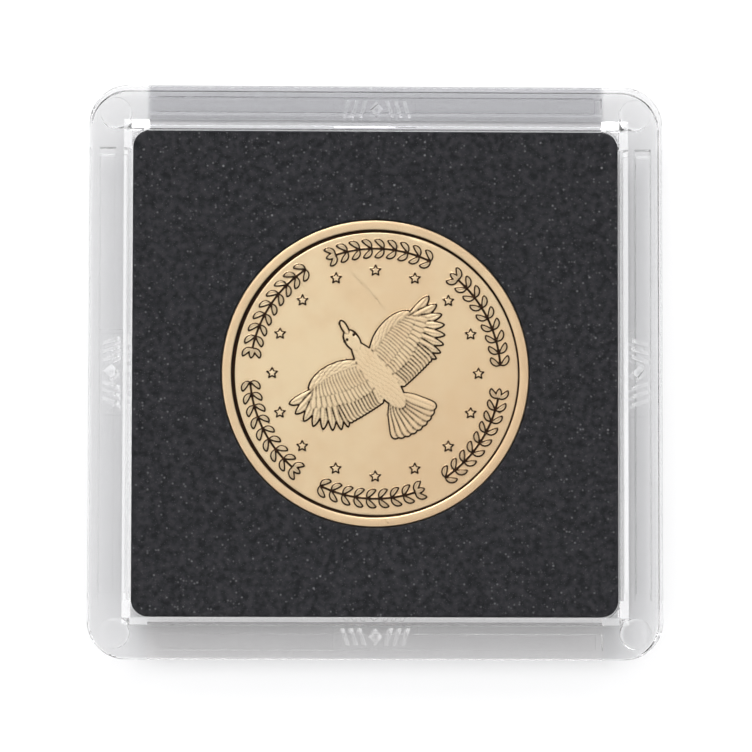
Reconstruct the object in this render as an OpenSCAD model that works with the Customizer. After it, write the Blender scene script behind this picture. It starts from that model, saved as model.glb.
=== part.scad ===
// Square snap-together coin capsule: two clear moulded shells closed round a die-cut
// foam gasket that grips one coin. It lies flat on the back shell's rail.
// Origin: centre of the back rail's face. +Z points out of the front, +Y to the top edge.
// Every length is in millimetres.

/* [Case] */
// Outside width and height of the square case
case_w = 49.2; // [46:0.1:62]
// Outer corner radius, seen from the front
corner_r = 3.3; // [3:0.1:5]
// Rounding of the outer edges of both rails
edge_r = 0.15; // [0.1:0.05:0.6]
// Width of the raised rail, from the outer face to the window
rail_w = 3.6; // [3.6:0.1:6]
// Width of the slope from the rail's top down to the window
bevel_w = 0.65; // [0.2:0.05:0.9]
// Depth of each window below its rail
recess_d = 0.7; // [0.4:0.05:1.2]
// Thickness of each clear window pane
pane_t = 1.25; // [0.9:0.05:2]
// Air gap left between the two shells at the parting plane
parting_gap = 0.06; // [0.02:0.01:0.2]

/* [Coin] */
// Diameter of the coin
coin_d = 26.5; // [16:0.1:38]
// Thickness of the coin over its rims
coin_t = 2; // [1.8:0.05:3.2]
// Width of the coin's raised rim
coin_rim_w = 0.85; // [0.6:0.05:2.5]
// Depth of the coin's field below its rim
coin_field_d = 0.16; // [0.05:0.01:0.3]
// Chamfer round both edges of the coin
coin_chamfer = 0.14; // [0.05:0.01:0.3]
// Air gap between the coin's rims and each pane
coin_pane_gap = 0.225; // [0.1:0.005:0.6]

/* [Gasket] */
// Clearance between the coin and the hole in the gasket, on the radius
hole_gap = 0.05; // [0.02:0.01:0.3]
// Clearance between the gasket and the pocket walls
gasket_gap = 0.2; // [0.05:0.01:0.4]
// Corner radius of the gasket
gasket_r = 1.4; // [0.5:0.1:3]
// How far the pocket's wall lies outside the window's edge
pocket_out = 0.1; // [0:0.05:0.3]

/* [Tongues and grooves] */
// Wall between the outer face and the groove
outer_wall = 0.8; // [0.7:0.05:1.2]
// Width of the groove
groove_w = 1.4; // [1:0.05:1.6]
// Depth of the groove from the parting face
groove_d = 1.6; // [1:0.05:1.9]
// Distance from the outer face to each end of the groove
groove_end = 5.1; // [4.8:0.1:12]
// Side clearance of the tongue in the groove
tongue_gap = 0.1; // [0.04:0.01:0.2]
// Clearance between the ends of the tongue and of the groove
tongue_end_gap = 0.6; // [0.1:0.05:1]
// Clearance over the tongue
tongue_top_gap = 0.2; // [0.05:0.05:0.5]

/* [Pegs and sockets] */
// Radius of each corner peg
peg_r = 1.3; // [0.8:0.05:1.35]
// Distance from both outer faces to a peg's axis
peg_in = 2.25; // [2.2:0.05:2.5]
// Running clearance of a peg in its socket, on the radius
socket_gap = 0.03; // [0.01:0.01:0.1]
// Depth of each socket from the parting face
socket_d = 1.7; // [1:0.05:1.9]
// Clearance over a peg
peg_top_gap = 0.2; // [0.1:0.05:0.5]
// Lead-in chamfer on a peg
peg_chamfer = 0.2; // [0.05:0.05:0.3]

/* [Rail badges] */
// Length of the sunk panel in the middle of each rail
badge_l = 7.1; // [4:0.1:12]
// Width of the sunk panel
badge_w = 1.9; // [1.4:0.1:1.9]
// Distance from the outer face to the sunk panel
badge_in = 1; // [0.8:0.05:1.1]
// Depth of the sunk panel
badge_d = 0.14; // [0.06:0.01:0.25]
// Number of leaning bars on each side of the badge's diamond
badge_bars = 3; // [1:1:3]
// Width of one leaning bar
badge_bar_w = 0.32; // [0.2:0.01:0.4]
// Spacing of the leaning bars
badge_bar_pitch = 0.72; // [0.6:0.01:0.8]

/* [Hidden] */
$fn = 96;

cut = 0.5;                                       // overshoot of a cutting tool past a face
gasket_t = coin_t + 2 * coin_pane_gap;           // the gasket fills the pocket from pane to pane
pane_z = recess_d + pane_t;                      // inner face of the back pane
case_t = 2 * pane_z + gasket_t;                  // overall thickness of the closed case
half_h = (case_t - parting_gap) / 2;             // height of one shell's walls
window_w = case_w - 2 * rail_w;
pocket_w = window_w + 2 * pocket_out;
gasket_w = pocket_w - 2 * gasket_gap;
pocket_r = gasket_r + gasket_gap;
groove_l = case_w - 2 * groove_end;
tongue_l = groove_l - 2 * tongue_end_gap;
tongue_w = groove_w - 2 * tongue_gap;
tongue_h = parting_gap + groove_d - tongue_top_gap;
peg_h = parting_gap + socket_d - peg_top_gap;
peg_at = case_w / 2 - peg_in;
hole_r = coin_d / 2 + hole_gap;
badge_margin = 0.22;                             // space between the badge's mark and the panel's edge
badge_slant = 0.45;                              // how far a bar leans over its height
diamond_ratio = 0.8;                             // length of the badge's diamond over its width
rooted = 0.3;                                    // how deep a tongue or peg runs into its wall
ALL_SIDES = [0, 90, 180, 270];
SIDE_PAIR = [0, 180];                            // the right and left sides
END_PAIR = [90, 270];                            // the top and bottom sides

// A square with round corners, centred on the origin
module round_square(w, r) {
    square([w - 2 * r, w], center = true);
    square([w, w - 2 * r], center = true);
    for (x = [-1, 1], y = [-1, 1])
        translate([x * (w / 2 - r), y * (w / 2 - r)]) circle(r);
}

// Places its children against the outer face of each named side, +X pointing outwards
module on_sides(angles) {
    for (a = angles) rotate(a) translate([case_w / 2, 0, 0]) children();
}

// A bar sunk in from the outer face by inset, w wide and l long, from z0 up by h
module side_bar(inset, w, l, z0, h) {
    translate([-inset - w, -l / 2, z0]) cube([w, l, h]);
}

// Section of a wall that ends in the outer face, with its lower outer edge rounded
module edge_section() {
    translate([0, edge_r]) square([corner_r, half_h - edge_r]);
    square([corner_r - edge_r, half_h]);
    translate([corner_r - edge_r, edge_r]) circle(edge_r);
}

// The solid slab of one shell, with round corners and a rounded lower edge
module shell_blank() {
    c = case_w / 2 - corner_r;
    translate([-c, -c, 0]) cube([2 * c, 2 * c, half_h]);
    for (a = ALL_SIDES) rotate(a) {
        translate([c, c, 0]) rotate([90, 0, 0]) linear_extrude(2 * c) edge_section();
        translate([c, c, 0]) rotate_extrude(angle = 90) edge_section();
    }
}

// One direction of the window's sloped recess, as long as the window with its slopes
module recess_prism() {
    near = window_w / 2;
    far = near + bevel_w;
    over = bevel_w * cut / recess_d;
    rotate([90, 0, 0]) linear_extrude(2 * (far + over), center = true)
        polygon([[-near, recess_d], [near, recess_d], [far + over, -cut], [-far - over, -cut]]);
}

// The recess over the window, with a slope down to the pane on all four sides
module window_recess() {
    intersection() {
        recess_prism();
        rotate(90) recess_prism();
    }
}

// The pocket that holds half of the gasket
module gasket_pocket() {
    translate([0, 0, pane_z]) linear_extrude(half_h - pane_z + cut) round_square(pocket_w, pocket_r);
}

// The mark on a badge: a diamond with bars leaning towards it on both sides, lying along Y
module badge_mark() {
    half_w = badge_w / 2 - badge_margin;
    half_l = half_w * diamond_ratio;
    polygon([[-half_w, 0], [0, half_l], [half_w, 0], [0, -half_l]]);
    for (side = [0, 1], i = [1:badge_bars]) mirror([0, side]) {
        foot = half_l + i * badge_bar_pitch + badge_slant / 2;
        head = foot - badge_slant;
        polygon([[-half_w, foot], [half_w, head],
                 [half_w, head - badge_bar_w], [-half_w, foot - badge_bar_w]]);
    }
}

// The sunk panel of a badge, leaving its mark standing
module badge_panel() {
    translate([-badge_in - badge_w / 2, 0, -cut]) linear_extrude(cut + badge_d) difference() {
        square([badge_w, badge_l], center = true);
        badge_mark();
    }
}

// A peg with a lead-in chamfer, standing on the parting face
module peg() {
    translate([0, 0, half_h - rooted]) rotate_extrude()
        polygon([[0, 0], [peg_r, 0], [peg_r, rooted + peg_h - peg_chamfer],
                 [peg_r - peg_chamfer, rooted + peg_h], [0, rooted + peg_h]]);
}

// Places its children on the axes of the four corner pegs
module at_corners() {
    for (x = [-1, 1], y = [-1, 1]) translate([x * peg_at, y * peg_at, 0]) children();
}

// One shell, lying on its rail, with tongues on one pair of sides and grooves on the other
module shell(tongue_sides, groove_sides, has_pegs) {
    difference() {
        shell_blank();
        window_recess();
        gasket_pocket();
        on_sides(groove_sides)
            side_bar(outer_wall, groove_w, groove_l, half_h - groove_d, groove_d + cut);
        on_sides(ALL_SIDES) badge_panel();
        if (!has_pegs)
            at_corners() translate([0, 0, half_h - socket_d])
                cylinder(r = peg_r + socket_gap, h = socket_d + cut);
    }
    on_sides(tongue_sides)
        side_bar(outer_wall + tongue_gap, tongue_w, tongue_l, half_h - rooted, rooted + tongue_h);
    if (has_pegs) at_corners() peg();
}

// The half that the capsule lies on: pegs up, tongues at the top and bottom
module back_shell() {
    color([0.88, 0.9, 0.92, 0.4]) shell(END_PAIR, SIDE_PAIR, true);
}

// The half over the coin's face: sockets down, tongues at the left and right
module front_shell() {
    color([0.9, 0.92, 0.94, 0.4])
        translate([0, 0, case_t]) mirror([0, 0, 1]) shell(SIDE_PAIR, END_PAIR, false);
}

// The die-cut foam pad with a round hole that the coin sits in
module foam_gasket() {
    color([0.14, 0.14, 0.15]) translate([0, 0, pane_z]) linear_extrude(gasket_t) difference() {
        round_square(gasket_w, gasket_r);
        circle(hole_r);
    }
}

// The coin: a plain-edged disc with a raised rim round a sunk field on both faces
module coin() {
    r = coin_d / 2;
    field_r = r - coin_rim_w;
    color([0.83, 0.66, 0.42]) translate([0, 0, pane_z + coin_pane_gap]) rotate_extrude()
        polygon([[0, coin_field_d], [field_r, coin_field_d], [field_r + coin_field_d, 0],
                 [r - coin_chamfer, 0], [r, coin_chamfer], [r, coin_t - coin_chamfer],
                 [r - coin_chamfer, coin_t], [field_r + coin_field_d, coin_t],
                 [field_r, coin_t - coin_field_d], [0, coin_t - coin_field_d]]);
}

back_shell();
foam_gasket();
coin();
front_shell();
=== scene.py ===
import math

import bpy
import numpy as np
from mathutils import Matrix, Vector


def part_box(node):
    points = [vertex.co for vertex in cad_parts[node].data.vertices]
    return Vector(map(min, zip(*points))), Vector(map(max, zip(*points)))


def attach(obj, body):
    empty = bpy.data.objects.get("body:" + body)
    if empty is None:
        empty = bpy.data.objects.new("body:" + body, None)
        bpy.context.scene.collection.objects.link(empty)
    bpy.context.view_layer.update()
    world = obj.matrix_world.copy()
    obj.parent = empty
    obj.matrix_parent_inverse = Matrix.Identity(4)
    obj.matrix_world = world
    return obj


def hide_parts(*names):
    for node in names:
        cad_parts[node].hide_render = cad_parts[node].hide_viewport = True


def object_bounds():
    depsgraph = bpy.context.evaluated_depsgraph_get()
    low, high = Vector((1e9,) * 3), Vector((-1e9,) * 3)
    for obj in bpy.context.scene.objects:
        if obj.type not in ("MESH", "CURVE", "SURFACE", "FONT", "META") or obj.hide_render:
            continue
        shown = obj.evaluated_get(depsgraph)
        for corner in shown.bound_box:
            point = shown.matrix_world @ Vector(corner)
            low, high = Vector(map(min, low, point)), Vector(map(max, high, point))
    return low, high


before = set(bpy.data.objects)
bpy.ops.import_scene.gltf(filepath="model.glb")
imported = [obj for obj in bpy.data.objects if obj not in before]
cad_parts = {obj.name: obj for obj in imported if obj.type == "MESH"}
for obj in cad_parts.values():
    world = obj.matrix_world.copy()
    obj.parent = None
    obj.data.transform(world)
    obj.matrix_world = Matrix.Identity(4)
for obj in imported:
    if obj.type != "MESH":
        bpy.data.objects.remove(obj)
cadBounds = [[float(v) for v in corner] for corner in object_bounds()]
mm = 0.001
shells = {name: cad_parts[name] for name in ("back_shell", "front_shell")}
caseLow, caseHigh = [np.array(corner) / mm for corner in cadBounds]
print("frame loaded: case %.2f x %.2f x %.2f mm" % tuple(caseHigh - caseLow))


def nodeBox(name):
    low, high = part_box(name)
    return np.array(low) / mm, np.array(high) / mm


view = {
    "distance": 400.0,      # from the front rail to the lens, mm
    "foot": (-12.0, -28.0),  # where the lens stands over the table, mm from the case's middle
    "across": 64.2,         # width seen at the front rail, mm
    "sensor": 36.0,
    "shift": (0.0, -0.0055),
    "roll": 0.10,           # degrees
}


def makeCamera(s):
    lens = bpy.data.cameras.new("camera")
    lens.sensor_width = s["sensor"]
    lens.lens = s["sensor"] * s["distance"] / s["across"]
    lens.shift_x, lens.shift_y = s["shift"]
    lens.clip_start, lens.clip_end = 0.005, 20.0
    eye = bpy.data.objects.new("camera", lens)
    eye.location = Vector((s["foot"][0], s["foot"][1], s["distance"] + caseHigh[2])) * mm
    back = Vector((s["foot"][0], s["foot"][1], s["distance"])).normalized()
    right = Vector((0, 1, 0)).cross(back).normalized()
    aim = Matrix((right, back.cross(right), back)).transposed()
    aim = aim @ Matrix.Rotation(math.radians(s["roll"]), 3, "Z")
    eye.rotation_euler = aim.to_euler()
    bpy.context.scene.collection.objects.link(eye)
    bpy.context.scene.camera = eye


# Soft boxes: where each stands, its size and its power. All aim at the coin. None stands
# over the camera, so that the panes mirror only the dark round the lens.
lights = {
    "keyBox": {"at": (-0.14, 0.54, 0.60), "size": (0.50, 0.22), "power": 3.0},
    "leftStrip": {"at": (-0.60, -0.05, 0.40), "size": (0.20, 0.70), "power": 0.4},
    "rightStrip": {"at": (0.60, 0.05, 0.45), "size": (0.20, 0.70), "power": 0.25},
}
# Brightness of the room by height, as (sine of the elevation, level), the side it leans to,
# and the dark spot that the panes mirror: degrees off its middle where it is whole and gone.
surround = {"stops": ((0.0, 0.20), (0.60, 0.30), (0.88, 0.70), (0.97, 1.0)), "strength": 1.96,
            "lean": (-0.45, 0.55, 0.5), "leanFrom": -0.2, "shadedSide": 0.65,
            "spot": (4.6, 9.5), "spotLevel": 0.02}


def makeLights(boxes):
    for name, s in boxes.items():
        lamp = bpy.data.lights.new(name, "AREA")
        lamp.shape = "RECTANGLE"
        lamp.size, lamp.size_y = s["size"]
        lamp.energy = s["power"]
        stand = bpy.data.objects.new(name, lamp)
        stand.location = s["at"]
        aim = -np.array(s["at"])
        stand.rotation_euler = (math.atan2(math.hypot(aim[0], aim[1]), -aim[2]), 0,
                                math.atan2(aim[1], aim[0]) - math.pi / 2)
        bpy.context.scene.collection.objects.link(stand)


def makeSurround(s):
    # Bright sky that darkens to the horizon, to one side, and in the spot that the panes mirror.
    world = bpy.data.worlds.new("studio")
    bpy.context.scene.world = world
    world.use_nodes = True
    tree = world.node_tree
    tree.nodes.clear()
    where = tree.nodes.new("ShaderNodeTexCoord")
    apart = tree.nodes.new("ShaderNodeSeparateXYZ")
    tree.links.new(where.outputs["Generated"], apart.inputs[0])
    height = tree.nodes.new("ShaderNodeValToRGB")
    while len(height.color_ramp.elements) < len(s["stops"]):
        height.color_ramp.elements.new(0.5)
    for element, (position, level) in zip(height.color_ramp.elements, s["stops"]):
        element.position = position
        element.color = (level, level, level, 1)
    tree.links.new(apart.outputs["Z"], height.inputs["Fac"])
    dot = tree.nodes.new("ShaderNodeVectorMath")
    dot.operation = "DOT_PRODUCT"
    toSide = np.array(s["lean"])
    dot.inputs[1].default_value = toSide / np.linalg.norm(toSide)
    tree.links.new(where.outputs["Generated"], dot.inputs[0])
    side = tree.nodes.new("ShaderNodeMapRange")
    side.interpolation_type = "SMOOTHSTEP"
    side.inputs["From Min"].default_value = s["leanFrom"]
    side.inputs["To Min"].default_value = s["shadedSide"]
    tree.links.new(dot.outputs["Value"], side.inputs["Value"])
    mirrored = tree.nodes.new("ShaderNodeVectorMath")
    mirrored.operation = "DOT_PRODUCT"
    toDark = Vector((-view["foot"][0], -view["foot"][1], view["distance"])).normalized()
    mirrored.inputs[1].default_value = toDark
    tree.links.new(where.outputs["Generated"], mirrored.inputs[0])
    spot = tree.nodes.new("ShaderNodeMapRange")
    spot.interpolation_type = "SMOOTHSTEP"
    spot.inputs["From Min"].default_value = math.cos(math.radians(s["spot"][1]))
    spot.inputs["From Max"].default_value = math.cos(math.radians(s["spot"][0]))
    spot.inputs["To Min"].default_value = s["strength"]
    spot.inputs["To Max"].default_value = s["strength"] * s["spotLevel"]
    tree.links.new(mirrored.outputs["Value"], spot.inputs["Value"])
    level = tree.nodes.new("ShaderNodeMath")
    level.operation = "MULTIPLY"
    tree.links.new(spot.outputs[0], level.inputs[1])
    tree.links.new(side.outputs[0], level.inputs[0])
    glow = tree.nodes.new("ShaderNodeBackground")
    out = tree.nodes.new("ShaderNodeOutputWorld")
    tree.links.new(height.outputs["Color"], glow.inputs["Color"])
    tree.links.new(level.outputs[0], glow.inputs["Strength"])
    tree.links.new(glow.outputs["Background"], out.inputs["Surface"])


makeCamera(view)
makeLights(lights)
makeSurround(surround)
bpy.context.scene.view_settings.view_transform = "Standard"
# Light turns back and forth many times inside clear plastic before it leaves it.
paths = bpy.context.scene.cycles
paths.max_bounces, paths.transparent_max_bounces = 24, 32
paths.glossy_bounces, paths.transmission_bounces = 16, 24
print("camera and lights placed")


def put(tree, kind, inputs=None, **options):
    node = tree.nodes.new("ShaderNode" + kind)
    for name, value in options.items():
        setattr(node, name, value)
    for name, value in (inputs or {}).items():
        node.inputs[name].default_value = value
    return node


def join(tree, output, target):
    tree.links.new(output, target)


def newGroup(name, inputs, outputs):
    group = bpy.data.node_groups.new(name, "ShaderNodeTree")
    for label, kind, value in inputs:
        socket = group.interface.new_socket(label, in_out="INPUT", socket_type="NodeSocket" + kind)
        if value is not None:
            socket.default_value = value
    for label, kind in outputs:
        group.interface.new_socket(label, in_out="OUTPUT", socket_type="NodeSocket" + kind)
    return group, group.nodes.new("NodeGroupInput"), group.nodes.new("NodeGroupOutput")


def math2(tree, operation, a, b=None, clamp=False):
    node = put(tree, "Math", operation=operation, use_clamp=clamp)
    for socket, value in zip(node.inputs, (a, b)):
        if value is None:
            continue
        if isinstance(value, (int, float)):
            socket.default_value = value
        else:
            join(tree, value, socket)
    return node.outputs[0]


def blendColor(tree, factor, a, b, mode="MIX"):
    node = put(tree, "Mix", data_type="RGBA", blend_type=mode)
    for socket, value in ((node.inputs[0], factor), (node.inputs[6], a), (node.inputs[7], b)):
        if isinstance(value, (int, float, tuple)):
            socket.default_value = value
        else:
            join(tree, value, socket)
    return node.outputs[2]


def fineGrainGroup():
    # Two noises, one six times finer than the other, mixed into one grain value.
    group, give, take = newGroup("fineGrain", [("Scale", "Float", 4000.0), ("Detail", "Float", 3.0),
                                               ("Fine Share", "Float", 0.4)], [("Grain", "Float")])
    where = put(group, "TexCoord")
    coarse = put(group, "TexNoise")
    fine = put(group, "TexNoise")
    join(group, where.outputs["Object"], coarse.inputs["Vector"])
    join(group, where.outputs["Object"], fine.inputs["Vector"])
    join(group, give.outputs["Scale"], coarse.inputs["Scale"])
    join(group, math2(group, "MULTIPLY", give.outputs["Scale"], 6.0), fine.inputs["Scale"])
    join(group, give.outputs["Detail"], coarse.inputs["Detail"])
    join(group, give.outputs["Detail"], fine.inputs["Detail"])
    mix = put(group, "Mix")
    join(group, give.outputs["Fine Share"], mix.inputs[0])
    join(group, coarse.outputs["Fac"], mix.inputs[2])
    join(group, fine.outputs["Fac"], mix.inputs[3])
    join(group, mix.outputs[0], take.inputs["Grain"])
    return group


def speckGroup():
    # Cells keep a bright dot at their middle where a random number per cell is high enough.
    group, give, take = newGroup("specks", [("Scale", "Float", 1500.0), ("Share", "Float", 0.2),
                                            ("Size", "Float", 0.3)], [("Specks", "Float")])
    where = put(group, "TexCoord")
    cells = put(group, "TexVoronoi")
    join(group, where.outputs["Object"], cells.inputs["Vector"])
    join(group, give.outputs["Scale"], cells.inputs["Scale"])
    dot = put(group, "MapRange")
    join(group, cells.outputs["Distance"], dot.inputs["Value"])
    join(group, give.outputs["Size"], dot.inputs["From Max"])
    dot.inputs["To Min"].default_value = 1.0
    dot.inputs["To Max"].default_value = 0.0
    parts = put(group, "SeparateColor")
    join(group, cells.outputs["Color"], parts.inputs[0])
    lucky = math2(group, "LESS_THAN", parts.outputs[0], give.outputs["Share"])
    strength = math2(group, "MULTIPLY", lucky, parts.outputs[1])
    join(group, math2(group, "MULTIPLY", dot.outputs[0], strength), take.inputs["Specks"])
    return group


def hairlineGroup():
    # Waves bent by noise and cut into short pieces: faint handling marks.
    group, give, take = newGroup("hairlines", [("Scale", "Float", 900.0), ("Turn", "Float", 0.6)],
                                 [("Marks", "Float")])
    where = put(group, "TexCoord")
    turn = put(group, "VectorRotate", rotation_type="Z_AXIS")
    join(group, where.outputs["Object"], turn.inputs["Vector"])
    join(group, give.outputs["Turn"], turn.inputs["Angle"])
    stretch = put(group, "VectorMath", operation="MULTIPLY")
    stretch.inputs[1].default_value = (0.06, 1.0, 1.0)
    join(group, turn.outputs[0], stretch.inputs[0])
    lines = put(group, "TexNoise", inputs={"Detail": 2.0})
    join(group, stretch.outputs[0], lines.inputs["Vector"])
    join(group, give.outputs["Scale"], lines.inputs["Scale"])
    keep = put(group, "MapRange", inputs={"From Min": 0.66, "From Max": 0.74})
    join(group, lines.outputs["Fac"], keep.inputs["Value"])
    join(group, keep.outputs[0], take.inputs["Marks"])
    return group


fineGrain = fineGrainGroup()
specks = speckGroup()
hairlines = hairlineGroup()


def useGroup(tree, group, **values):
    node = tree.nodes.new("ShaderNodeGroup")
    node.node_tree = group
    for name, value in values.items():
        node.inputs[name.replace("_", " ")].default_value = value
    return node


def newMaterial(name):
    material = bpy.data.materials.new(name)
    material.use_nodes = True
    tree = material.node_tree
    tree.nodes.clear()
    shader = put(tree, "BsdfPrincipled")
    out = put(tree, "OutputMaterial")
    join(tree, shader.outputs[0], out.inputs["Surface"])
    return material, tree, shader, out


def bumpFrom(tree, height, distance, strength=1.0):
    bump = put(tree, "Bump", inputs={"Distance": distance, "Strength": strength})
    join(tree, height, bump.inputs["Height"])
    return bump.outputs[0]


shellLook = {
    "front": {"tint": (0.983, 0.983, 0.985, 1), "shade": (0.965, 0.965, 0.968, 1), "turn": 0.5},
    "back": {"tint": (0.976, 0.977, 0.98, 1), "shade": (0.965, 0.965, 0.968, 1), "turn": 2.1},
    "paintedShadeTop": (0.775, 0.775, 0.79, 1),      # painted shade on the top rail; this tint and the next are for the two rails whose tongue stands in the back shell
    # nearly clear tint for the bottom rail, which gets almost none of the painted shade
    "paintedShadeBottom": (0.995, 0.99, 0.99, 1),
    "paintedShadeLength": 19.45,    # half the length of the painted shade stretch, mm
    "paintedShadeFrom": 21.65,      # distance from the middle where it starts, mm
    "flow": {"Scale": 110.0, "Detail": 1.0, "Fine_Share": 0.12},    # unevenness of the moulding
    "marks": 1400.0,        # scale of the handling marks
    "roughness": 0.015,
    "index": 1.585,         # polystyrene
    "rounding": 0.07,       # radius of the moulded edges, mm
}


def clearPlastic(name, s, shared):
    # Refracting plastic for what is seen; light to and from what lies inside is only dimmed.
    material, tree, shader, out = newMaterial(name)
    where = put(tree, "TexCoord")
    size = put(tree, "VectorMath", operation="ABSOLUTE")
    join(tree, where.outputs["Object"], size.inputs[0])
    apart = put(tree, "SeparateXYZ")
    join(tree, size.outputs[0], apart.inputs[0])
    # Painted shade: the middle stretch of the top rail is tinted darker, and that of the bottom rail barely,
    # so the rails look as if in shade.
    along = put(tree, "MapRange", inputs={"From Min": (shared["paintedShadeLength"] + 0.3) * mm,
                                          "From Max": (shared["paintedShadeLength"] - 0.1) * mm})
    join(tree, apart.outputs["X"], along.inputs["Value"])
    beyond = put(tree, "MapRange", inputs={"From Min": (shared["paintedShadeFrom"] - 0.1) * mm,
                                           "From Max": (shared["paintedShadeFrom"] + 0.1) * mm})
    join(tree, apart.outputs["Y"], beyond.inputs["Value"])
    paintedShadeMask = math2(tree, "MULTIPLY", along.outputs[0], beyond.outputs[0])
    place = put(tree, "SeparateXYZ")
    join(tree, where.outputs["Object"], place.inputs[0])
    upper = math2(tree, "GREATER_THAN", place.outputs["Y"], 0.0)
    paintedShadeTint = blendColor(tree, upper, shared["paintedShadeBottom"], shared["paintedShadeTop"])
    join(tree, blendColor(tree, paintedShadeMask, s["tint"], paintedShadeTint), shader.inputs["Base Color"])
    shader.inputs["Roughness"].default_value = shared["roughness"]
    shader.inputs["IOR"].default_value = shared["index"]
    shader.inputs["Transmission Weight"].default_value = 1.0
    flow = useGroup(tree, fineGrain, **shared["flow"])
    marks = useGroup(tree, hairlines, Scale=shared["marks"], Turn=s["turn"])
    height = math2(tree, "ADD", flow.outputs[0], math2(tree, "MULTIPLY", marks.outputs[0], -0.004))
    join(tree, bumpFrom(tree, height, 0.00004, 0.2), shader.inputs["Normal"])
    through = put(tree, "BsdfTransparent", inputs={"Color": s["shade"]})
    path = put(tree, "LightPath")
    mix = put(tree, "MixShader")
    join(tree, math2(tree, "MAXIMUM", path.outputs["Is Shadow Ray"], path.outputs["Is Diffuse Ray"]),
         mix.inputs[0])
    join(tree, shader.outputs[0], mix.inputs[1])
    join(tree, through.outputs[0], mix.inputs[2])
    join(tree, mix.outputs[0], out.inputs["Surface"])
    return material


def finishShell(node, material, rounding):
    node.data.materials.clear()
    node.data.materials.append(material)
    weld = node.modifiers.new("joinTriangles", "WELD")
    weld.merge_threshold = 2e-6
    flat = node.modifiers.new("wholeFaces", "DECIMATE")
    flat.decimate_type = "DISSOLVE"
    flat.angle_limit = math.radians(0.6)
    soft = node.modifiers.new("mouldedEdges", "BEVEL")
    soft.width = rounding * mm
    soft.segments = 2
    soft.limit_method = "ANGLE"
    soft.angle_limit = math.radians(35)
    soft.harden_normals = False
    shade = node.modifiers.new("evenShading", "WEIGHTED_NORMAL")
    shade.keep_sharp = False


for side, nodeName in (("front", "front_shell"), ("back", "back_shell")):
    finishShell(shells[nodeName], clearPlastic(side + "ClearPlastic", shellLook[side], shellLook),
                shellLook["rounding"])
print("clear shells finished")


# A face is a square height map in millimetres; marks are pressed into windows of it.
def newFace(radius, step):
    count = int(round(2 * radius / step)) + 1
    line = np.linspace(-radius, radius, count)
    x, y = np.meshgrid(line, line)
    return {"line": line, "step": line[1] - line[0], "x": x, "y": y, "h": np.zeros((count, count)),
            "plumed": np.zeros((count, count))}


def window(face, points, margin):
    low, high = points.min(0) - margin, points.max(0) + margin
    span = []
    for axis in (1, 0):
        a = int(np.clip((low[axis] - face["line"][0]) / face["step"], 0, len(face["line"]) - 2))
        b = int(np.clip((high[axis] - face["line"][0]) / face["step"] + 2, a + 1, len(face["line"])))
        span.append(slice(a, b))
    return tuple(span)


def curve(root, bend, tip, count=14):
    # Quadratic curve from root to tip, pulled towards bend.
    t = np.linspace(0, 1, count)[:, None]
    root, bend, tip = (np.array(p, float) for p in (root, bend, tip))
    return (1 - t) ** 2 * root + 2 * t * (1 - t) * bend + t ** 2 * tip


def alongSpine(x, y, points):
    # For each place: its share along the polyline, and its signed distance across it.
    start, step = points[:-1], np.diff(points, axis=0)
    length = np.hypot(step[:, 0], step[:, 1])
    before = np.concatenate([[0], np.cumsum(length)])
    dx, dy = x[..., None] - start[:, 0], y[..., None] - start[:, 1]
    t = np.clip((dx * step[:, 0] + dy * step[:, 1]) / length ** 2, 0, 1)
    ox, oy = dx - t * step[:, 0], dy - t * step[:, 1]
    far = ox ** 2 + oy ** 2
    best = far.argmin(-1)[..., None]
    share = (before[best] + np.take_along_axis(t, best, -1) * length[best])[..., 0] / before[-1]
    turn = np.take_along_axis(step[:, 0] * oy - step[:, 1] * ox, best, -1)[..., 0]
    return share, np.sqrt(far.min(-1)) * np.where(turn < 0, -1, 1), before[-1]


def outlineDistance(x, y, corners):
    # Signed distance to a closed outline, negative inside.
    following = np.roll(corners, -1, axis=0)
    near = np.full(x.shape, 1e9)
    inside = np.zeros(x.shape, bool)
    for a, b in zip(corners, following):
        e = b - a
        wx, wy = x - a[0], y - a[1]
        t = np.clip((wx * e[0] + wy * e[1]) / (e @ e), 0, 1)
        near = np.minimum(near, np.hypot(wx - e[0] * t, wy - e[1] * t))
        crosses = (a[1] > y) != (b[1] > y)
        with np.errstate(divide="ignore", invalid="ignore"):
            inside ^= crosses & (x < (b[0] - a[0]) * (y - a[1]) / (b[1] - a[1]) + a[0])
    return np.where(inside, -near, near)


def rise(distance, wall):
    # 0 outside an outline, 1 once wall deep inside it, smooth between.
    t = np.clip(-distance / wall, 0, 1)
    return t * t * (3 - 2 * t)


def pressOutline(face, corners, height, wall=0.07):
    corners = np.array(corners, float)
    w = window(face, corners, 0.1)
    lifted = height * rise(outlineDistance(face["x"][w], face["y"][w], corners), wall)
    face["h"][w] = np.maximum(face["h"][w], lifted)


def pressBlade(face, points, width, s):
    # A leaf or feather: half width follows a rounded outline along the spine, and the
    # surface is crowned across it with a groove for the quill and fine slanting barbs.
    w = window(face, points, width)
    share, across, length = alongSpine(face["x"][w], face["y"][w], points)
    body = np.clip(1 - np.abs(2 * share - 1) ** s["blunt"], 0, 1) ** s["point"]
    taper = s["rootWidth"] + (1 - s["rootWidth"]) * np.clip(share / s["rootShare"], 0, 1)
    half = 0.5 * width * body * taper
    inside = (np.abs(across) < half) & (share > 0) & (share < 1)
    q = np.clip(np.abs(across) / np.maximum(half, 1e-6), 0, 1)
    crown = np.clip(1 - q ** 2, 0, 1) ** s["crown"]
    quill = s["quill"] * np.exp(-(across / s["quillWidth"]) ** 2) * (share < 0.93)
    barbs = s["barbs"] * np.cos(2 * np.pi * (share * length - np.abs(across) * 0.9) / s["barbPitch"])
    height = s["base"] + s["lift"] * crown - quill + barbs * crown
    face["h"][w] = np.where(inside, height, face["h"][w])


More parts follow.
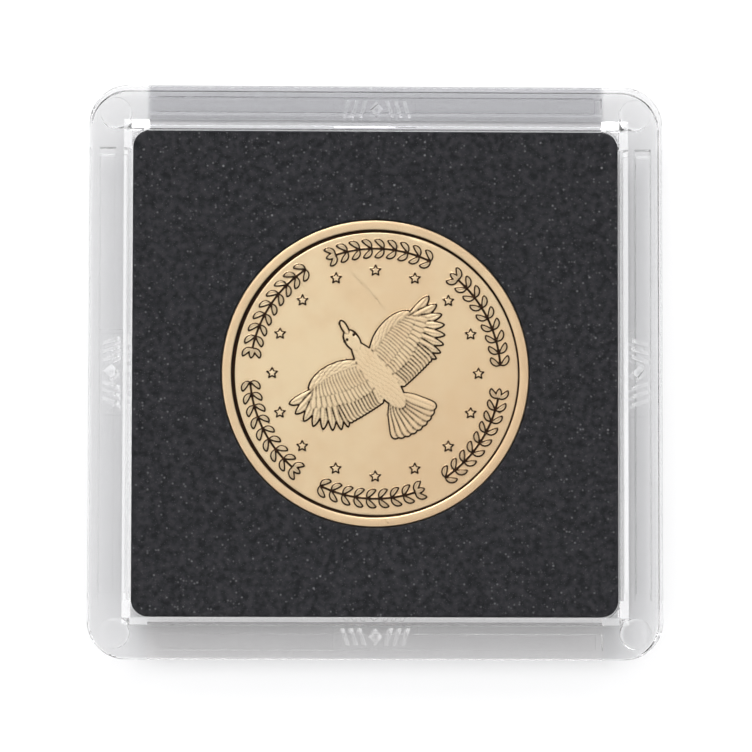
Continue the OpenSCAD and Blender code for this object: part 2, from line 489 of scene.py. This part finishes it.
def blurred(image, sigma):
    reach = max(1, int(3 * sigma))
    kernel = np.exp(-0.5 * (np.arange(-reach, reach + 1) / sigma) ** 2)
    kernel /= kernel.sum()
    for axis in (0, 1):
        pad = [(reach, reach) if a == axis else (0, 0) for a in (0, 1)]
        wide = np.pad(image, pad, mode="edge")
        image = sum(k * np.take(wide, np.arange(i, i + image.shape[axis]), axis=axis)
                    for i, k in enumerate(kernel))
    return image


def polar(radius, degrees):
    return radius * np.array([math.cos(math.radians(degrees)), math.sin(math.radians(degrees))])


def starCorners(centre, size, point):
    turn = np.radians(point) + np.arange(10) * np.pi / 5
    reach = np.where(np.arange(10) % 2 == 0, size, size * 0.43)
    return np.array(centre) + np.stack([reach * np.cos(turn), reach * np.sin(turn)], 1)


# Sizes in millimetres, angles in degrees.
relief = {
    "face": {"radius": 12.0, "step": 0.02},
    "border": {"radius": 10.78, "leafWidth": 0.46, "pitch": 1.02, "height": 0.10,
               "arcs": [(at + 4, at + 52) for at in range(0, 360, 60)]},
    "stars": {"radius": 8.88, "size": 0.62, "height": 0.09, "count": 16},
    "backBorder": {"radius": 9.6, "arcs": [(262, 100), (278, 440)]},
    "beads": {"radius": 11.2, "size": 0.2, "height": 0.08, "pitch": 6.0},
    # Petals of the compass flower, short ones first: length, width, first angle, angle between.
    "petals": [(4.6, 1.3, 22.5, 45.0), (6.9, 1.9, 0.0, 90.0)],
    "heart": {"size": 1.5, "height": 0.13},
    "wing": {"base": 0.03, "lift": 0.08, "crown": 0.40, "quill": 0.022, "quillWidth": 0.045, "barbs": 0.005,
             "barbPitch": 0.24, "blunt": 7.0, "point": 0.5, "rootWidth": 0.6, "rootShare": 0.35},
    "finger": {"base": 0.03, "lift": 0.09, "crown": 0.40, "quill": 0.03, "quillWidth": 0.05, "barbs": 0.004,
               "barbPitch": 0.24, "blunt": 3.0, "point": 0.7, "rootWidth": 0.6, "rootShare": 0.5},
    "covert": {"base": 0.05, "lift": 0.07, "crown": 0.42, "quill": 0.012, "quillWidth": 0.04, "barbs": 0.003,
               "barbPitch": 0.22, "blunt": 4.0, "point": 0.5, "rootWidth": 0.7, "rootShare": 0.3},
    "down": {"base": 0.07, "lift": 0.075, "crown": 0.45, "quill": 0.0, "quillWidth": 0.04, "barbs": 0.0,
             "barbPitch": 0.2, "blunt": 3.0, "point": 0.5, "rootWidth": 0.8, "rootShare": 0.3},
    "skin": {"base": 0.075, "lift": 0.055, "crown": 0.7, "quill": 0.0, "quillWidth": 0.04, "barbs": 0.0,
             "barbPitch": 0.2, "blunt": 2.6, "point": 0.5, "rootWidth": 0.9, "rootShare": 0.4},
    "leaf": {"base": 0.02, "lift": 0.085, "crown": 0.30, "quill": 0.035, "quillWidth": 0.045, "barbs": 0.0,
             "barbPitch": 0.2, "blunt": 2.2, "point": 0.8, "rootWidth": 1.0, "rootShare": 0.3},
}
# The bird's places are its own: +Y along its body to the beak, +X to one wing tip.
bird = {
    "turn": 38.0,
    "at": (0.0, 0.2),
    # Fans of feathers, from the lowest to the highest: kind, how many, width, bow, the run of
    # their roots and the run of their tips.
    "wing": [
        ("finger", 8, 0.80, 0.3, [(4.9, 2.0), (4.3, 1.9), (3.6, 1.8)],
         [(7.6, 2.3), (7.6, 0.6), (6.9, -0.9), (5.9, -1.9), (4.8, -2.4)]),
        ("wing", 11, 0.68, 0.2, [(3.8, 1.6), (2.2, 1.3), (0.7, 0.8)],
         [(4.3, -2.3), (2.7, -2.5), (1.3, -2.6)]),
        ("covert", 15, 0.60, 0.12, [(4.8, 2.1), (2.8, 1.8), (0.7, 1.2)],
         [(6.3, 0.7), (3.4, -0.9), (1.1, -1.2)]),
        ("covert", 17, 0.50, 0.08, [(4.7, 2.2), (2.8, 2.0), (0.7, 1.4)],
         [(5.6, 1.4), (3.2, 0.2), (1.0, -0.2)]),
    ],
    "tail": ("wing", 9, 0.92, 0.0, [(-0.5, -2.9), (0.5, -2.9)],
             [(-2.2, -5.7), (-0.8, -6.3), (0.8, -6.3), (2.2, -5.7)]),
    # Rounded forms with small feathers: run, width, half width and taper of the feathered
    # part, their pitch and how deep they are cut.
    "arm": ([(0.5, 1.3), (2.2, 2.2), (3.9, 2.5), (5.5, 2.2)], 0.95, (0.45, 3.0), 0.38, 0.65),
    "body": ([(0, 3.1), (0, 1.0), (0, -1.4), (0, -4.0)], 2.1, (0.92, 2.4), 0.44, 0.5),
    # Smooth forms: run, steps along it, width and what differs from plain skin.
    "head": ([(0, 2.3), (0.05, 3.3), (0.15, 4.3)], 10, 1.25, {"base": 0.10, "lift": 0.05}),
    "beak": ([(0.10, 3.9), (0.20, 4.6), (0.30, 5.3)], 8, 0.55,
             {"base": 0.08, "blunt": 3.0, "point": 0.8, "rootWidth": 1.0}),
    "eyes": {"at": [(-0.28, 3.62), (0.46, 3.60)], "size": 0.09, "depth": 0.08},
}


def pressSprigs(face, s, blade):
    # Each sprig is a thin stem along the border with leaves leaning off both sides of it.
    for a, b in s["arcs"]:
        way = 1 if b > a else -1
        turns = np.radians(np.linspace(a, b, 24))
        stem = s["radius"] * np.stack([np.cos(turns), np.sin(turns)], 1)
        w = window(face, stem, 0.2)
        _, across, length = alongSpine(face["x"][w], face["y"][w], stem)
        band = s["height"] * 0.8 * rise(np.abs(across) - 0.07, 0.06)
        face["h"][w] = np.maximum(face["h"][w], band)
        count = max(2, int(round(length / s["pitch"])))
        for at in np.linspace(a, b - way * 3.2, count):
            for side in (-1, 1):
                root = polar(s["radius"] + side * 0.05, at)
                tip = polar(s["radius"] + side * 0.72, at + way * 4.0)
                bend = polar(s["radius"] + side * 0.62, at + way * 0.9)
                pressBlade(face, curve(root, bend, tip, 8), s["leafWidth"], blade)
        # the leaf at the sprig's tip
        root, tip = polar(s["radius"], b - way * 3.6), polar(s["radius"], b + way * 1.2)
        bend = (polar(s["radius"], b) + root) / 2
        pressBlade(face, curve(root, bend, tip, 8), s["leafWidth"], blade)


def pressFan(face, roots, tips, width, blade, bow=0.0):
    # A row of feathers, each laid over the one before, bowed to the right of the way it points.
    way = tips - roots
    across = np.stack([way[:, 1], -way[:, 0]], 1) / np.hypot(way[:, 0], way[:, 1])[:, None]
    bends = (roots + tips) / 2 + across * bow
    for root, bend, tip, wide in zip(roots, bends, tips, np.broadcast_to(width, len(tips))):
        pressBlade(face, curve(root, bend, tip), wide, blade)


def smoothThrough(points, count):
    # A smooth run through a few points, by a cubic with even parameters.
    points = np.array(points, float)
    t = np.linspace(0, 1, len(points))
    order = min(3, len(points) - 1)
    fine = np.linspace(0, 1, count)
    return np.stack([np.polyval(np.polyfit(t, points[:, i], order), fine) for i in (0, 1)], 1)


def pressScales(face, spine, half, pitch, blade):
    # Small feathers in staggered rows along a spine, pointing to its end. The rows start at
    # the end, so each row covers the roots of the one before it.
    step = np.diff(spine, axis=0)
    before = np.concatenate([[0], np.cumsum(np.hypot(step[:, 0], step[:, 1]))])
    rows = int(before[-1] / pitch)
    place = lambda at: np.array([np.interp(at, before, spine[:, i]) for i in (0, 1)])
    for i in range(rows):
        at = before[-1] * (1 - (i + 0.5) / rows)
        centre, ahead, behind = place(at), place(at + 0.1), place(at - 0.1)
        along = (ahead - behind) / np.hypot(*(ahead - behind))
        side = np.array([-along[1], along[0]])
        wide = half(at / before[-1])
        count = max(1, int(round(2 * wide / (pitch * 0.85))))
        for j in range(count + i % 2):
            middle = centre + side * ((j + 0.5 - 0.5 * (i % 2)) / count * 2 - 1) * wide
            pressBlade(face, curve(middle - along * pitch * 0.9, middle, middle + along * pitch * 0.9, 5),
                       pitch * 1.25, blade)


def pressPlumage(face, spine, width, half, pitch, depth):
    # A smooth rounded form with small feathers on it, which are cut off at its outline.
    before = face["h"].copy()
    pressBlade(face, spine, width, relief["skin"])
    smooth = face["h"].copy()
    pressScales(face, spine, half, pitch, relief["down"])
    feathered = smooth + depth * (face["h"] - smooth)
    face["h"] = np.where(smooth != before, feathered, before)


def tapering(middle, sharpness):
    # Half width of a row of small feathers, widest at its middle.
    return lambda t: middle * math.sqrt(max(0.05, 1 - abs(2 * t - 1) ** sharpness))


def pressBird(face):
    # Seen from above in level flight: the same wing on both sides of the body.
    turn = math.radians(bird["turn"])
    spin = np.array([[math.cos(turn), math.sin(turn)], [-math.sin(turn), math.cos(turn)]])

    def run(points, count, side=1):
        return smoothThrough(np.array(points) * (side, 1), count) @ spin + bird["at"]

    def fan(row, side=1):
        kind, count, width, bow, roots, tips = row
        pressFan(face, run(roots, count, side), run(tips, count, side), width, relief[kind], side * bow)

    def plumage(form, side=1):
        points, width, feathered, pitch, depth = form
        pressPlumage(face, run(points, 26, side), width, tapering(*feathered), pitch, depth)

    for side in (-1, 1):
        for row in bird["wing"]:
            fan(row, side)
        plumage(bird["arm"], side)
    fan(bird["tail"])
    plumage(bird["body"])
    for points, count, width, change in (bird["head"], bird["beak"]):
        pressBlade(face, run(points, count), width, dict(relief["skin"], **change))
    s = bird["eyes"]
    for eye in run(s["at"], len(s["at"])):
        w = window(face, eye[None], 0.4)
        spot = np.hypot(face["x"][w] - eye[0], face["y"][w] - eye[1])
        face["h"][w] -= s["depth"] * np.exp(-(spot / s["size"]) ** 2)


def drawFront():
    face = newFace(**relief["face"])
    pressSprigs(face, relief["border"], relief["leaf"])
    s = relief["stars"]
    for at in np.arange(s["count"]) * 360 / s["count"]:
        pressOutline(face, starCorners(polar(s["radius"], at), s["size"], 90), s["height"])
    before = face["h"].copy()
    pressBird(face)
    face["plumed"] = (face["h"] != before).astype(float)
    return face


def drawBack():
    # A ring of leaves and a ring of beads round a compass flower of eight short petals and four long.
    face = newFace(**relief["face"])
    pressSprigs(face, dict(relief["border"], **relief["backBorder"]), relief["leaf"])
    s = relief["beads"]
    for at in np.arange(0, 360, s["pitch"]):
        centre = polar(s["radius"], at)
        w = window(face, centre[None], 0.3)
        spot = np.hypot(face["x"][w] - centre[0], face["y"][w] - centre[1])
        bead = s["height"] * np.sqrt(np.clip(1 - (spot / s["size"]) ** 2, 0, 1))
        face["h"][w] = np.maximum(face["h"][w], bead)
    petal = dict(relief["leaf"], base=0.03, lift=0.09, quill=0.04, quillWidth=0.06)
    for reach, wide, start, between in relief["petals"]:
        for at in np.arange(start, 360 + start, between):
            pressBlade(face, curve(polar(0.6, at), polar(reach / 2, at), polar(reach, at), 8), wide, petal)
    s = relief["heart"]
    pressOutline(face, starCorners((0, 0), s["size"], 90), s["height"])
    return face


coinLook = {
    "cells": 400,           # fine cells across a face
    "coarse": 4,            # fine cells in a plain cell
    "plainBelow": 0.0035,   # largest rise across a fine cell where plain cells do, mm
    "rimInner": 12.42,      # inner edge of the rim, mm
    "fieldDepth": 0.16,
    "dish": 0.02,
    "groove": 0.06,
    "grooveNarrow": 0.10,
    "grooveWide": 0.32,
    "grooveSide": 170.0,    # degrees, where the groove and its painted shadow are widest
}


def grooveInner(turn):
    # The groove inside the rim is wider on one side, and so is the dark line painted in it, a painted shadow
    # of the rim.
    s = coinLook
    share = 0.5 + 0.5 * np.cos(turn - math.radians(s["grooveSide"]))
    return s["rimInner"] - s["grooveNarrow"] - (s["grooveWide"] - s["grooveNarrow"]) * share


def radialProfile(r, turn):
    # Height of the plain face: dished field, groove, steep wall, flat rim.
    s = coinLook
    a = s["rimInner"]
    field = -s["fieldDepth"] - s["dish"] * (np.minimum(r, a) / a) ** 2
    sunk = -s["groove"] * np.clip((r - grooveInner(turn)) / 0.06 + 1, 0, 1)
    rim = np.interp(r, [a - 0.09, a - 0.02, a + 0.03, a + 0.12, 13.0, 13.11], [0, 0.7, 0.93, 1, 1, 0.94])
    return np.where(r < a - 0.09, field + sunk, (field - s["groove"]) * (1 - rim))


def discGrid(cells, ringRadius):
    # A square grid bent into a disc: every ring of the square becomes a circle.
    line = np.linspace(-1, 1, cells + 1)
    a, b = np.meshgrid(line, line)
    ring = np.maximum(np.abs(a), np.abs(b))
    steep = np.abs(b) > np.abs(a)
    safeA, safeB = np.where(a == 0, 1, a), np.where(b == 0, 1, b)
    turn = np.where(steep, np.pi / 2 - np.pi / 4 * a / safeB, np.pi / 4 * b / safeA)
    reach = np.where(steep, np.sign(b), np.sign(a)) * ringRadius(ring)
    return reach * np.cos(turn), reach * np.sin(turn)


def sampled(face, image, x, y):
    # Bilinear reading of the height map.
    u = np.clip((x - face["line"][0]) / face["step"], 0, len(face["line"]) - 1.001)
    v = np.clip((y - face["line"][0]) / face["step"], 0, len(face["line"]) - 1.001)
    i, j = v.astype(int), u.astype(int)
    fv, fu = v - i, u - j
    return (image[i, j] * (1 - fu) * (1 - fv) + image[i, j + 1] * fu * (1 - fv)
            + image[i + 1, j] * (1 - fu) * fv + image[i + 1, j + 1] * fu * fv)


def mixedFaces(busy, coarse, index):
    # Busy blocks keep all their small quads. A plain block is one polygon that also takes
    # in the small corners of the busy blocks next to it, so nothing is left open.
    small = np.kron(busy, np.ones((coarse, coarse), bool)).astype(bool)
    i, j = np.nonzero(small)
    quads = np.stack([index[i, j], index[i, j + 1], index[i + 1, j + 1], index[i + 1, j]], 1)
    ci, cj = np.nonzero(~busy)
    padded = np.pad(busy, 1, constant_values=True)
    step = np.arange(coarse)
    sides = [(0 * step, step, padded[ci, cj + 1]), (step, 0 * step + coarse, padded[ci + 1, cj + 2]),
             (0 * step + coarse, coarse - step, padded[ci + 2, cj + 1]),
             (coarse - step, 0 * step, padded[ci + 1, cj])]
    corners, kept = [], []
    for di, dj, nextIsBusy in sides:
        corners.append(index[(ci * coarse)[:, None] + di, (cj * coarse)[:, None] + dj])
        kept.append((step == 0)[None, :] | nextIsBusy[:, None])
    corners, kept = np.concatenate(corners, 1), np.concatenate(kept, 1)
    return quads, corners[kept], kept.sum(1)


def meshFromLoops(name, points, loops, sizes, values=None):
    used = np.unique(loops)
    place = np.zeros(len(points), int)
    place[used] = np.arange(len(used))
    mesh = bpy.data.meshes.new(name)
    mesh.vertices.add(len(used))
    mesh.vertices.foreach_set("co", (points[used] * mm).astype(np.float32).ravel())
    mesh.loops.add(len(loops))
    mesh.loops.foreach_set("vertex_index", place[loops].astype(np.int32))
    mesh.polygons.add(len(sizes))
    mesh.polygons.foreach_set("loop_start", np.concatenate([[0], np.cumsum(sizes)[:-1]]).astype(np.int32))
    mesh.update(calc_edges=True)
    for label, data in (values or {}).items():
        mesh.attributes.new(label, "FLOAT", "POINT").data.foreach_set("value", data[used].astype(np.float32))
    mesh.polygons.foreach_set("use_smooth", np.ones(len(sizes), bool))
    mesh.validate()
    piece = bpy.data.objects.new(name, mesh)
    bpy.context.scene.collection.objects.link(piece)
    return piece


def faceHeights(face, x, y, lookX):
    # Relief, how steep it is and how sunk, read at the grid's points; steepness and sinking become masks for
    # painted shade.
    image = blurred(face["h"], 0.9)
    slopeY, slopeX = np.gradient(image, face["step"])
    slope = np.hypot(slopeX, slopeY)
    inBird = np.clip((blurred(face["plumed"], 3.0) - 0.9) / 0.1, 0, 1)
    # Steepness, raised inside the bird, marks where painted shade goes.
    steep = np.maximum(blurred(slope, 1.7) / 0.88, (blurred(slope, 2.4) - 0.09) / 0.5 * inBird)
    sunk = blurred(image, 7.0) - image
    r, turn = np.hypot(x, y), np.arctan2(y, x)
    height = radialProfile(r, turn) + sampled(face, image, lookX, y) * (r < 11.9)
    a = coinLook["rimInner"]
    # Painted shadow of the rim: a dark line over the groove inside it.
    line = np.clip((r - grooveInner(turn)) / 0.05 + 0.8, 0, 1) * np.clip((a - r) / 0.05 + 0.2, 0, 1)
    wall = np.maximum(np.clip(sampled(face, steep, lookX, y), 0, 1), line)
    hollowShade = np.maximum(np.clip(sampled(face, sunk, lookX, y) / 0.05, 0, 1), line)
    return height, wall, hollowShade


def makeCoin():
    s = coinLook
    low, high = nodeBox("coin")
    radius = (high[0] - low[0]) / 2
    cells, coarse = s["cells"], s["coarse"]
    half = cells / 2
    knots = half - np.array([half, 22, 18, 14, 11, 10, 9, 8, 2, 0])
    rims = s["rimInner"] + np.array([-s["rimInner"], -0.56, -0.34, -0.18, -0.075, -0.02, 0.03, 0.12,
                                     0.58, 0.69])
    ringRadius = lambda ring: np.interp(ring * half, knots, rims)
    x, y = discGrid(cells, ringRadius)
    count = (cells + 1) ** 2
    points, wallShades, hollowShades, loops, sizes = [], [], [], [], []
    for side, face in ((1, drawFront()), (-1, drawBack())):
        height, wall, hollowShade = faceHeights(face, x, y, side * x)
        top = high[2] if side > 0 else low[2]
        points.append(np.stack([x, y, top + side * height], -1).reshape(-1, 3))
        wallShades.append(wall.ravel())
        hollowShades.append(hollowShade.ravel())
        dy, dx = np.abs(np.diff(height, axis=0)), np.abs(np.diff(height, axis=1))
        cellSlope = np.maximum(dy[:, :-1], dx[:-1])
        blocks = cellSlope.reshape(cells // coarse, coarse, cells // coarse, coarse).max((1, 3))
        busy = blocks > s["plainBelow"]
        index = np.arange(count).reshape(cells + 1, cells + 1) + (0 if side > 0 else count)
        quads, corners, counts = mixedFaces(busy, coarse, index)
        if side < 0:
            quads = quads[:, ::-1]
            ends = np.cumsum(counts)
            within = np.arange(len(corners)) - np.repeat(ends - counts, counts)
            corners = corners[np.repeat(ends, counts) - 1 - within]
        loops += [quads.ravel(), corners]
        sizes += [np.full(len(quads), 4), counts]
        print("coin side %d: %d small and %d plain faces" % (side, len(quads), len(counts)))
    # the edge: rings of points between the outer circles of the two faces
    grid = np.arange(count).reshape(cells + 1, cells + 1)
    circle = np.concatenate([grid[0, :-1], grid[:-1, -1], grid[-1, :0:-1], grid[:0:-1, 0]])
    turn = np.arctan2(y.ravel()[circle], x.ravel()[circle])
    rows = [(radius - 0.08, high[2] - 0.02), (radius - 0.02, high[2] - 0.07), (radius, high[2] - 0.14),
            (radius, low[2] + 0.14), (radius - 0.02, low[2] + 0.07), (radius - 0.08, low[2] + 0.02)]
    ringIndex = [circle]
    for k, (r, z) in enumerate(rows):
        points.append(np.stack([r * np.cos(turn), r * np.sin(turn), np.full(len(turn), z)], -1))
        wallShades.append(np.zeros(len(turn)))
        hollowShades.append(np.zeros(len(turn)))
        ringIndex.append(2 * count + k * len(turn) + np.arange(len(turn)))
    ringIndex.append(circle + count)
    for upper, lower in zip(ringIndex[:-1], ringIndex[1:]):
        band = np.stack([upper, lower, np.roll(lower, -1), np.roll(upper, -1)], 1)
        loops.append(band.ravel())
        sizes.append(np.full(len(band), 4))
    return meshFromLoops("coin_struck", np.concatenate(points), np.concatenate(loops),
                         np.concatenate(sizes),
                         {"wall": np.concatenate(wallShades), "hollowShade": np.concatenate(hollowShades)})


brass = {
    "bright": (0.68, 0.545, 0.355, 1),
    "toned": (0.645, 0.49, 0.31, 1),
    "rosy": (0.61, 0.43, 0.26, 1),
    "dark": (0.020, 0.009, 0.004, 1),    # painted shade on the walls of the relief
    "hollowShadeTone": (0.36, 0.22, 0.10, 1),       # painted shade in its hollows and in the groove inside the rim
    "rimFrom": (12.3, 13.1),             # where the tone turns to that of the rim, mm
    # the side where painted shade falls, away from the light
    "paintedShadeSide": (0.75, -0.66, 0.0),
    "roughness": 0.36,
}


def brassMaterial(s):
    material, tree, shader, _ = newMaterial("struckBrass")
    wall = put(tree, "Attribute", attribute_name="wall")
    hollowShade = put(tree, "Attribute", attribute_name="hollowShade")
    patches = useGroup(tree, fineGrain, Scale=130.0, Detail=3.0, Fine_Share=0.35)
    grain = useGroup(tree, fineGrain, Scale=5200.0, Detail=2.0, Fine_Share=0.5)
    marks = useGroup(tree, hairlines, Scale=1900.0, Turn=0.9)
    toning = put(tree, "MapRange", inputs={"From Min": 0.42, "From Max": 0.62})
    join(tree, patches.outputs[0], toning.inputs["Value"])
    ground = blendColor(tree, toning.outputs[0], s["bright"], s["toned"])
    where = put(tree, "TexCoord")
    flat = put(tree, "VectorMath", operation="MULTIPLY")
    flat.inputs[1].default_value = (1000.0, 1000.0, 0.0)
    join(tree, where.outputs["Object"], flat.inputs[0])
    reach = put(tree, "VectorMath", operation="LENGTH")
    join(tree, flat.outputs[0], reach.inputs[0])
    rim = put(tree, "MapRange", inputs={"From Min": s["rimFrom"][0], "From Max": s["rimFrom"][1]})
    join(tree, reach.outputs["Value"], rim.inputs["Value"])
    ground = blendColor(tree, math2(tree, "MULTIPLY", rim.outputs[0], 0.6), ground, s["rosy"])
    # Painted shade: the colour turns darker and more rosy towards the lower right, the side away from the
    # light.
    lean = put(tree, "VectorMath", operation="DOT_PRODUCT")
    lean.inputs[1].default_value = s["paintedShadeSide"]
    join(tree, flat.outputs[0], lean.inputs[0])
    sideShadeShare = put(tree, "MapRange", inputs={"From Min": -4.0, "From Max": 13.0, "To Max": 0.55})
    join(tree, lean.outputs["Value"], sideShadeShare.inputs["Value"])
    ground = blendColor(tree, sideShadeShare.outputs[0], ground, s["rosy"])
    # Painted shade: the hollows of the relief and the groove inside the rim turn a darker brown.
    hollowShadeShare = math2(tree, "MULTIPLY", hollowShade.outputs["Fac"], 0.5)
    ground = blendColor(tree, hollowShadeShare, ground, s["hollowShadeTone"])
    # Painted shade: the steep walls of the relief and the groove inside the rim turn nearly black.
    edge = put(tree, "MapRange", inputs={"From Min": 0.15, "From Max": 0.62})
    join(tree, wall.outputs["Fac"], edge.inputs["Value"])
    color = blendColor(tree, edge.outputs[0], ground, s["dark"])
    join(tree, color, shader.inputs["Base Color"])
    shader.inputs["Metallic"].default_value = 1.0
    rough = math2(tree, "MULTIPLY_ADD", grain.outputs[0], 0.14)
    rough.node.inputs[2].default_value = s["roughness"] - 0.07
    rough = math2(tree, "SUBTRACT", rough, math2(tree, "MULTIPLY", marks.outputs[0], 0.08))
    join(tree, rough, shader.inputs["Roughness"])
    height = math2(tree, "SUBTRACT", grain.outputs[0], math2(tree, "MULTIPLY", marks.outputs[0], 0.25))
    join(tree, bumpFrom(tree, height, 0.0000025, 0.5), shader.inputs["Normal"])
    return material


coin = makeCoin()
coin.data.materials.append(brassMaterial(brass))
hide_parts("coin")
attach(coin, "coin_piece")
print("coin struck")


foamLook = {
    "corner": 1.4,          # radius of the pad's corners, mm
    "edge": 0.16,           # softness of the die-cut edges
    "inset": 0.03,          # air between the pad and each pane
    "around": 620,          # points round the hole
    "across": 46,           # and from the hole to the outer edge
    "wall": 7,              # and through the thickness
    "gap": 0.05,            # between the coin and the hole
    "unevenness": 0.022,
    "seed": 7,
}


def latticeNoise(x, y, pitch, seed):
    # Random heights on a square lattice, joined by smooth steps.
    table = np.random.default_rng(seed).uniform(-1, 1, (256, 256))
    u, v = x / pitch + 128.0, y / pitch + 128.0
    i, j = np.floor(u).astype(int), np.floor(v).astype(int)
    fu, fv = u - i, v - j
    fu, fv = fu * fu * (3 - 2 * fu), fv * fv * (3 - 2 * fv)
    at = lambda a, b: table[a % 256, b % 256]
    return ((at(i, j) * (1 - fu) + at(i + 1, j) * fu) * (1 - fv)
            + (at(i, j + 1) * (1 - fu) + at(i + 1, j + 1) * fu) * fv)


def roundSquareReach(turn, half, corner):
    # Distance from the centre to a round-cornered square, for each direction.
    arc = np.linspace(0, np.pi / 2, 60)
    centres = np.array([(1, 1), (-1, 1), (-1, -1), (1, -1)]) * (half - corner)
    outline = []
    for k, c in enumerate(centres):
        turned = arc + k * np.pi / 2
        outline.append(c + corner * np.stack([np.cos(turned), np.sin(turned)], 1))
    outline = np.concatenate(outline)
    following = np.roll(outline, -1, 0)
    outline = np.concatenate([np.linspace(a, b, 30)[:-1] for a, b in zip(outline, following)])
    angle = np.arctan2(outline[:, 1], outline[:, 0])
    order = np.argsort(angle)
    return np.interp(turn, angle[order], np.hypot(*outline.T)[order], period=2 * np.pi)


def makePad(s):
    # Around: directions from the centre. Along: hole wall, top face, outer wall, back face.
    low, high = nodeBox("foam_gasket")
    coinLow, coinHigh = nodeBox("coin")
    half = (high[0] - low[0]) / 2
    hole = (coinHigh[0] - coinLow[0]) / 2 + s["gap"]
    corners = np.concatenate([np.linspace(-0.045, 0.045, 25) + np.pi / 4 + k * np.pi / 2
                              for k in range(-2, 2)])
    turn = np.sort(np.concatenate([np.linspace(-np.pi, np.pi, s["around"], endpoint=False), corners]))
    outer = roundSquareReach(turn, half, s["corner"])
    top, bottom = high[2] - s["inset"], low[2] + s["inset"]
    e = s["edge"]
    bend = np.linspace(0, np.pi / 2, 5)
    share = np.linspace(0, 1, s["across"])[1:-1]
    rows = []                # share from hole to outer edge, inset from that edge, height
    for a in bend:
        rows.append((0, e * (1 - np.cos(a)), top - e * (1 - np.sin(a))))
    rows += [(t, None, top) for t in share]
    for a in bend[::-1]:
        rows.append((1, -e * (1 - np.cos(a)), top - e * (1 - np.sin(a))))
    rows += [(1, 0, z) for z in np.linspace(top - e, bottom + e, s["wall"])[1:-1]]
    for a in bend:
        rows.append((1, -e * (1 - np.cos(a)), bottom + e * (1 - np.sin(a))))
    rows += [(t, None, bottom) for t in share[::-1]]
    for a in bend[::-1]:
        rows.append((0, e * (1 - np.cos(a)), bottom + e * (1 - np.sin(a))))
    rows += [(0, 0, z) for z in np.linspace(bottom + e, top - e, s["wall"])[1:-1]]
    grid = []
    for t, inset, z in rows:
        reach = hole + e + (outer - hole - 2 * e) * t if inset is None else hole + (outer - hole) * t + inset
        x, y = reach * np.cos(turn), reach * np.sin(turn)
        bumps = (latticeNoise(x, y, 0.9, s["seed"]) * 0.6
                 + latticeNoise(x, y, 0.33, s["seed"] + 1) * 0.4)
        face = np.sign(z - (top + bottom) / 2) if inset is None else 0
        grid.append(np.stack([x, y, z - face * s["unevenness"] * (0.5 + 0.5 * bumps)], -1))
    grid = np.array(grid)
    rowCount, around = grid.shape[:2]
    index = np.arange(rowCount * around).reshape(rowCount, around)
    a, b = index, np.roll(index, -1, 0)
    quads = np.stack([a, b, np.roll(b, -1, 1), np.roll(a, -1, 1)], -1).reshape(-1, 4)
    return meshFromLoops("foam_pad", grid.reshape(-1, 3), quads.ravel(), np.full(len(quads), 4))


foamColors = {"ground": (0.0085, 0.0088, 0.0108, 1), "pale": (0.036, 0.036, 0.040, 1),
              "fleck": (0.40, 0.40, 0.41, 1)}


def foamMaterial(s):
    material, tree, shader, _ = newMaterial("darkFoam")
    cloud = useGroup(tree, fineGrain, Scale=1900.0, Detail=3.0, Fine_Share=0.3)
    tone = put(tree, "MapRange", inputs={"From Min": 0.38, "From Max": 0.64})
    join(tree, cloud.outputs[0], tone.inputs["Value"])
    small = useGroup(tree, specks, Scale=4200.0, Share=0.12, Size=0.5)
    big = useGroup(tree, specks, Scale=1900.0, Share=0.07, Size=0.26)
    flecks = math2(tree, "MAXIMUM", math2(tree, "MULTIPLY", small.outputs[0], 0.6), big.outputs[0])
    ground = blendColor(tree, tone.outputs[0], s["ground"], s["pale"])
    join(tree, blendColor(tree, math2(tree, "MULTIPLY", flecks, 0.8), ground, s["fleck"]),
         shader.inputs["Base Color"])
    shader.inputs["Roughness"].default_value = 0.92
    shader.inputs["Specular IOR Level"].default_value = 0.25
    pits = useGroup(tree, fineGrain, Scale=2400.0, Detail=2.0, Fine_Share=0.3)
    join(tree, bumpFrom(tree, pits.outputs[0], 0.00006, 0.8), shader.inputs["Normal"])
    return material


pad = makePad(foamLook)
pad.data.materials.append(foamMaterial(foamColors))
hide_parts("foam_gasket")
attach(pad, "gasket")
print("foam pad cut")


floorLook = {
    "half": 1.5,            # half its width, m
    "below": 0.02,          # under the case, mm
    "color": (0.93, 0.93, 0.93, 1),
}


def makeFloor(s):
    mesh = bpy.data.meshes.new("floor")
    half, z = s["half"], (caseLow[2] - s["below"]) * mm
    mesh.from_pydata([(-half, -half, z), (half, -half, z), (half, half, z), (-half, half, z)], [],
                     [(0, 1, 2, 3)])
    floor = bpy.data.objects.new("floor", mesh)
    bpy.context.scene.collection.objects.link(floor)
    material, _, shader, _ = newMaterial("paleFloor")
    shader.inputs["Base Color"].default_value = s["color"]
    shader.inputs["Roughness"].default_value = 0.9
    shader.inputs["Specular IOR Level"].default_value = 0.2
    mesh.materials.append(material)


makeFloor(floorLook)
